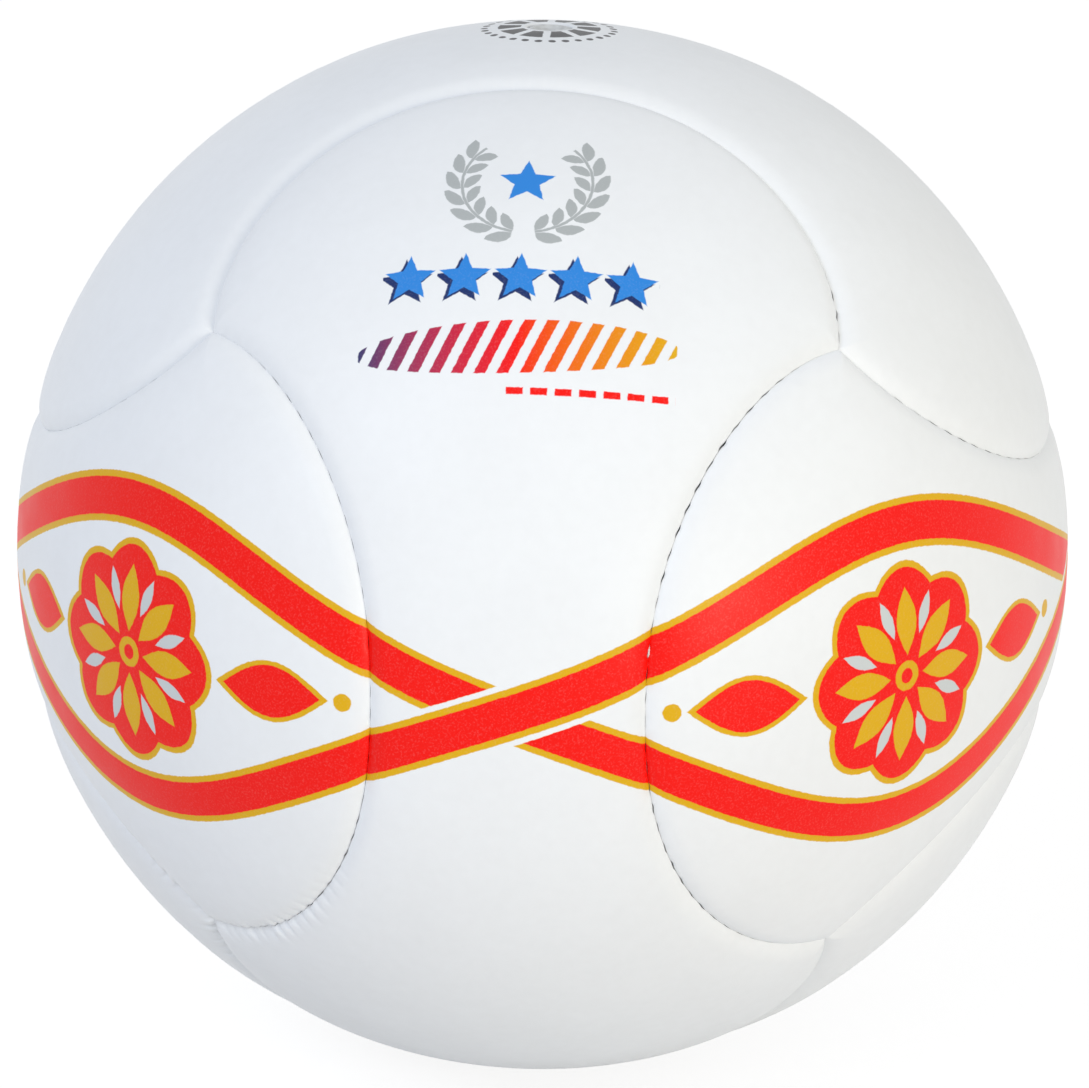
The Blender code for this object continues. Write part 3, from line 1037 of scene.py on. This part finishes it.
def ribbon_outlines(longitude, across):
    """Distances to the edge and the field of two ribbons that cross over and under at the waists."""
    swing_height = RADIUS_MM * math.radians(16)
    roundness = 0.65
    half_width = 5.0
    gap = 1.1
    swing = longitude * 2
    rise = reckon("SINE", swing)
    centre = (rise * roundness + rise * rise * rise * (1 - roundness)) * swing_height
    steepness = (rise * rise * (3 - 3 * roundness) + roundness) * reckon("COSINE", swing)
    slope = steepness * (2 * swing_height / RADIUS_MM)
    lean = reckon("INVERSE_SQRT", slope * slope + 1)
    first = abs(across - centre) * lean
    second = abs(across + centre) * lean
    first_over = reckon("GREATER_THAN", reckon("COSINE", swing), 0.0)
    over = second + (first - second) * first_over
    under = first + second - over
    clear = half_width + gap - over
    outer = either(over - half_width, both(under - half_width, clear))
    inner_half = half_width - GOLD_EDGE
    inner = either(over - inner_half, both(under - inner_half, clear))
    return outer, inner


def rosette_outlines(aside, upward):
    """Distances to a lobed field, and to the petals and the small leaves that lie on it."""
    lobes = 8
    radius = 18.4
    lobe_height = 3.0
    step = math.tau / lobes
    reach = length_of(aside, upward)
    angle = folded(reckon("ARCTAN2", upward, aside), step)
    field = reach - reckon("COSINE", angle * (lobes / 2)) * lobe_height - radius
    petal = leaf(*parted(reach, angle), start=4.2, end=17.6, width=2.6)
    small = leaf(*parted(reach, step / 2 - abs(angle)), start=8.5, end=17.0, width=1.3)
    return field, petal, small, reach


def girdle_group():
    """Ribbons round the ball's middle, with a rosette between two leaves in each of their eyes."""
    inputs = {"Place": "Vector", "Color": "Color"}
    outputs = {"Color": "Color", "Ink": "Float"}
    fields, going = new_group("girdle_print", inputs, outputs)
    x, y, z = parts_of(direction_of(fields["Place"]))
    longitude = reckon("ARCTAN2", x, y * -1)
    across = reckon("ARCSINE", z) * RADIUS_MM
    along = folded(longitude - math.pi / 4, math.pi / 2) * RADIUS_MM

    outer, inner = ribbon_outlines(longitude, across)
    field, petal, small, reach = rosette_outlines(along, across)
    end_leaf = leaf(abs(along), across, start=25.5, end=47.0, width=5.2)
    leaf_edge = leaf(abs(along), across, start=23.8, end=48.7, width=6.1)
    dot_place = 51.5
    dot_radius = 1.8
    dot = length_of(abs(along) - dot_place, across) - dot_radius
    red = either(either(inner, field), end_leaf)
    gold = either(either(outer, field - GOLD_EDGE), either(leaf_edge, dot))
    heart_radius = 3.0
    heart = reach - heart_radius

    colour = lay(fields["Color"], filled(gold), INK_GOLD)
    colour = lay(colour, filled(red), INK_RED)
    colour = lay(colour, filled(small), INK_PALE)
    colour = lay(colour, filled(either(petal, heart)), INK_GOLD)
    colour = lay(colour, filled(reach - heart_radius / 2), INK_RED)
    feed(going["Color"], colour)
    feed(going["Ink"], filled(gold))


def laurel_outline(aside, upward):
    """Distance to two laurel sprays that meet at the foot of a ring."""
    radius = 12.5
    leaf_step = math.radians(18.5)
    leaf_lean = math.radians(34)
    leaf_out = 1.9
    leaf_reach = 2.9
    half_stem = 0.3
    foot = math.radians(10)
    tip = math.radians(138)
    reach = length_of(aside, upward)
    angle = reckon("ARCTAN2", abs(aside), upward * -1)
    along = folded(angle, leaf_step) * radius
    off_stem = reach - radius
    out = abs(off_stem) - leaf_out
    lengthwise = along * math.cos(leaf_lean) + out * math.sin(leaf_lean)
    crosswise = out * math.cos(leaf_lean) - along * math.sin(leaf_lean)
    leaves = leaf(lengthwise, crosswise, start=-leaf_reach, end=leaf_reach, width=1.15)
    stem = abs(off_stem) - half_stem
    ends = both(angle - tip, foot - angle) * radius
    return both(either(leaves, stem), ends)


def star_outlines(aside, height):
    """Distances to a row of five stars and to their shadows."""
    count = 5
    pitch = 10.6
    shadow_left = 0.8
    shadow_down = 0.9
    row = abs(aside) - pitch * count / 2
    each = folded(aside, pitch)
    upward = height - STARS_HEIGHT
    stars = both(star(each, upward, radius=5.2), row)
    shadows = both(star(each + shadow_left, upward + shadow_down, radius=5.4), row)
    return stars, shadows


def stroke_outline(aside, height):
    """Distance to slanted strokes that fill a flat ellipse with cut ends."""
    pitch = 4.4
    half_width = 1.15
    slant = 0.45
    tilt = 0.05
    half_height = 5.4
    cut = 0.5
    upward = height - STROKES_HEIGHT - aside * tilt
    slanted = folded(aside - upward * slant, pitch)
    swell = reckon("SQRT", ranged(aside * aside, 0.0, STROKES_REACH**2, low=1.0, high=0.0))
    strokes = both(abs(slanted) - half_width, abs(upward) - swell * half_height)
    return both(strokes, abs(aside) - (STROKES_REACH - cut))


def dash_outline(aside, height):
    """Distance to a short dashed line."""
    pitch = 4.6
    half_dash = 1.6
    half_width = 0.7
    middle = 14.0
    half_length = 16.5
    upward = height - DASHES_HEIGHT
    line = both(abs(aside - middle) - half_length, abs(upward) - half_width)
    return both(abs(folded(aside, pitch)) - half_dash, line)


def graded_ink(aside):
    """Ink that shades from dark blue over red to gold along the strokes."""
    node = add_node(aside.tree, "ValToRGB", ranged(aside, -STROKES_REACH, STROKES_REACH))
    inks = node.color_ramp.elements
    inks[0].color = INK_NAVY
    inks[1].color = INK_GOLD
    middle = inks.new(0.5)
    middle.color = INK_RED
    return Field(node.outputs[0])


def lobe_print(place, colour):
    """The print on the front panel's upper lobe: a laurel ring, a row of stars, strokes and dashes."""
    x, y, z = parts_of(direction_of(place))
    aside = reckon("ARCSINE", x) * RADIUS_MM
    height = reckon("ARCTAN2", z, y * -1) * RADIUS_MM
    laurel = laurel_outline(aside, height - RING_HEIGHT)
    ring_star = star(aside, height - RING_HEIGHT, radius=5.6)
    stars, shadows = star_outlines(aside, height)
    strokes = stroke_outline(aside, height)
    dashes = dash_outline(aside, height)

    colour = lay(colour, filled(laurel), INK_GREY)
    colour = lay(colour, filled(shadows), INK_NAVY)
    colour = lay(colour, filled(either(stars, ring_star)), INK_BLUE)
    colour = lay(colour, filled(strokes), graded_ink(aside))
    colour = lay(colour, filled(dashes), INK_RED)
    ink = filled(either(either(laurel, shadows), either(strokes, dashes)))
    return colour, ink


def valve_print(place, colour):
    """Ticks and dots round the valve."""
    tick_step = math.tau / 10
    tick_ring = 7.9
    half_tick = 2.3
    half_gap = 0.75
    dot_step = math.tau / 30
    dot_ring = 12.9
    dot_radius = 0.75
    x, y, _ = parts_of(turned(place, (VALVE_OFFSET / BALL_RADIUS, 0, 0)))
    reach = length_of(x, y)
    angle = reckon("ARCTAN2", y, x)
    ticks = abs(folded(angle, tick_step)) * reach - reach * (tick_step / 2) + half_gap
    ticks = both(ticks, abs(reach - tick_ring) - half_tick)
    dots = length_of(folded(angle, dot_step) * reach, reach - dot_ring) - dot_radius
    mask = filled(either(ticks, dots))
    return lay(colour, mask, INK_DARK), mask


def girdle_print(place, colour):
    printed = use_group("girdle_print", Place=place, Color=colour)
    return printed["Color"], printed["Ink"]


def leather_material(name, prints):
    """White coated leather with the prints that one panel carries."""
    material, tree, sockets = new_material(name)
    place = object_place(tree)
    finish = use_group("coated_leather", Place=place)
    colour = lay(WHITE_LEATHER, finish["Clouding"] * LEATHER_CLOUDING, WORN_LEATHER)
    roughness = finish["Gloss"] * ROUGHNESS_SPREAD + LEATHER_ROUGHNESS
    for add_print in prints:
        colour, ink = add_print(frayed(place, INK_GRAIN, INK_FRAY), colour)
        colour = lay(colour, ink * finish["Speckle"] * INK_WEAR, WORN_LEATHER)
        roughness = roughness - ink * INK_SMOOTHNESS
    # Painted shade: darken the leather deep in the slits, where shade falls between a seam's edges
    colour = lay(colour, finish["Slit"], SLIT_PAINTED_SHADE)
    feed(sockets["Base Color"], colour)
    feed(sockets["Roughness"], roughness)
    feed(sockets["Specular IOR Level"], LEATHER_SPECULAR)
    add_bump(sockets, finish["Grain"], GRAIN_STRENGTH, GRAIN_DEPTH)
    return material


def leather_materials():
    leather_group()
    girdle_group()
    girdled = leather_material("leather_girdled", [girdle_print])
    plain = leather_material("leather_plain", [])
    return {
        "front": leather_material("leather_front", [girdle_print, lobe_print]),
        "back": girdled,
        "left": girdled,
        "right": girdled,
        "top": leather_material("leather_valve", [valve_print]),
        "bottom": plain,
    }


# Other finishes


def clouded_material(name, clean, worn, clouds, roughness, bumps):
    """A finish that clouds from one colour to another.

    Its clouds are a size, a detail and a range, its roughness a size and two limits, and its bumps a
    size, a strength and a depth. The sizes are in millimetres.
    """
    material, tree, sockets = new_material(name)
    place = object_place(tree)
    size, detail, start, end = clouds
    feed(sockets["Base Color"], lay(clean, ranged(cloudy(place, size, detail), start, end), worn))
    size, low, high = roughness
    feed(sockets["Roughness"], ranged(cloudy(place, size), *NOISE_RANGE, low, high))
    size, strength, depth = bumps
    add_bump(sockets, cloudy(place, size), strength, depth)
    return material


def thread_material():
    """Waxed white thread, a little soiled."""
    clouds = (3.0, 2.0, 0.45, 0.75)
    roughness = (1.0, 0.50, 0.68)
    bumps = (0.12, 0.30, 0.00004)
    return clouded_material("waxed_thread", THREAD_WHITE, THREAD_SHADE, clouds, roughness, bumps)


def rubber_material(name, clean, worn):
    """Moulded rubber with a dusty bloom."""
    clouds = (2.0, 3.0, 0.40, 0.75)
    roughness = (1.2, 0.48, 0.66)
    bumps = (0.25, 0.25, 0.00004)
    return clouded_material(name, clean, worn, clouds, roughness, bumps)


def cloth_material():
    """Woven cotton backing."""
    material, tree, sockets = new_material("lining_cloth")
    place = object_place(tree)
    yarn_pitch = 0.9
    waves = [reckon("SINE", part * (math.tau / yarn_pitch)) for part in parts_of(place)]
    weave = ranged(waves[0] * waves[1] * waves[2] + cloudy(place, size=0.4) * 0.5, -0.6, 1.1)
    roughness = ranged(cloudy(place, size=4.0), *NOISE_RANGE, low=0.82, high=0.95)
    feed(sockets["Base Color"], lay(CLOTH, weave, CLOTH_SHADE))
    feed(sockets["Roughness"], roughness)
    add_bump(sockets, weave, strength=0.5, depth=0.0001)
    return material


def latex_material():
    """Thin latex, clouded where it is thicker."""
    clouds = (12, 4.0, 0.35, 0.70)
    roughness = (3.0, 0.36, 0.50)
    bumps = (1.5, 0.20, 0.0001)
    return clouded_material("bladder_latex", LATEX, LATEX_SHADE, clouds, roughness, bumps)


def dress_nodes():
    """Better materials for the solids that keep their own shape."""
    cloth = cloth_material()
    finishes = {
        "lining": cloth,
        "valve_patch": cloth,
        "bladder": latex_material(),
        "valve_core": rubber_material("core_rubber", RUBBER_GREY, RUBBER_PALE),
    }
    for name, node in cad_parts.items():
        for start, finish in finishes.items():
            if name.startswith(start):
                node.material_slots[0].material = finish


# Studio


def make_floor():
    """A wide floor that the ball stands on."""
    bm = bmesh.new()
    bmesh.ops.create_grid(bm, x_segments=1, y_segments=1, size=FLOOR_REACH)
    bmesh.ops.translate(bm, vec=(0, 0, cad_box[0].z), verts=bm.verts)
    floor = new_object("floor", mesh_from("floor", bm))
    floor.data.materials.append(floor_material())


def floor_material():
    """Pale paint that is white to the eye, apart from the ball's soft shadow."""
    material, tree = blank_material("white_floor")
    paint = made(tree, "BsdfDiffuse", FLOOR_PAINT)
    shade = made(tree, "BsdfDiffuse", FLOOR_SHADE)
    glow = made(tree, "Emission", WHITE, FLOOR_GLOW)
    seen_white = made(tree, "AddShader", shade, glow)
    add_node(tree, "OutputMaterial", made(tree, "MixShader", seen_rays(tree), paint, seen_white))
    return material


def seen_rays(tree):
    """1 on rays that show the background to the eye, straight or in a reflection."""
    rays = add_node(tree, "LightPath").outputs
    kinds = ("Camera", "Glossy", "Transmission")
    direct, glossy, through = (Field(rays[f"Is {kind} Ray"]) for kind in kinds)
    return reckon("MAXIMUM", direct, reckon("MAXIMUM", glossy, through))


def make_world():
    """Even light from all round, and plain white to the eye."""
    world = bpy.data.worlds.new("studio")
    bpy.context.scene.world = world
    world.use_nodes = True
    tree = world.node_tree
    tree.nodes.clear()
    seen = seen_rays(tree)
    strength = seen * (1 - ROOM_LIGHT) + ROOM_LIGHT
    add_node(tree, "OutputWorld", made(tree, "Background", lay(ROOM_TINT, seen, WHITE), strength))


def make_lamp(name, place, power, colour):
    """A square soft light that faces the ball."""
    lamp = bpy.data.lights.new(name, "AREA")
    lamp.size = LAMP_SIZE
    lamp.energy = power
    lamp.color = colour
    item = new_object(name, lamp)
    item.location = place
    item.rotation_euler = (-Vector(place)).to_track_quat("-Z", "Y").to_euler()


def make_camera():
    """The photograph's view: far away, a little above and to the right of straight ahead."""
    back = Vector(CAMERA_BACK).normalized()
    right = Vector(CAMERA_UP).cross(back).normalized()
    upward = back.cross(right)
    place = back * CAMERA_DISTANCE + right * CAMERA_RIGHT - upward * CAMERA_DOWN
    data = bpy.data.cameras.new("camera")
    data.sensor_width = CAMERA_SENSOR
    data.lens = CAMERA_LENS
    data.clip_end = 100
    camera = new_object("camera", data)
    turn = Matrix((right, upward, back)).transposed().to_4x4()
    camera.matrix_world = Matrix.Translation(place) @ turn
    bpy.context.scene.camera = camera


def make_studio():
    bpy.context.scene.view_settings.view_transform = "Standard"
    make_camera()
    make_floor()
    make_world()
    make_lamp("key", KEY_PLACE, KEY_POWER, KEY_COLOUR)
    make_lamp("fill", FILL_PLACE, FILL_POWER, FILL_COLOUR)


make_studio()
make_panels(leather_materials())
make_threads(thread_material())
make_valve(rubber_material("valve_rubber", RUBBER_WHITE, RUBBER_WORN))
dress_nodes()
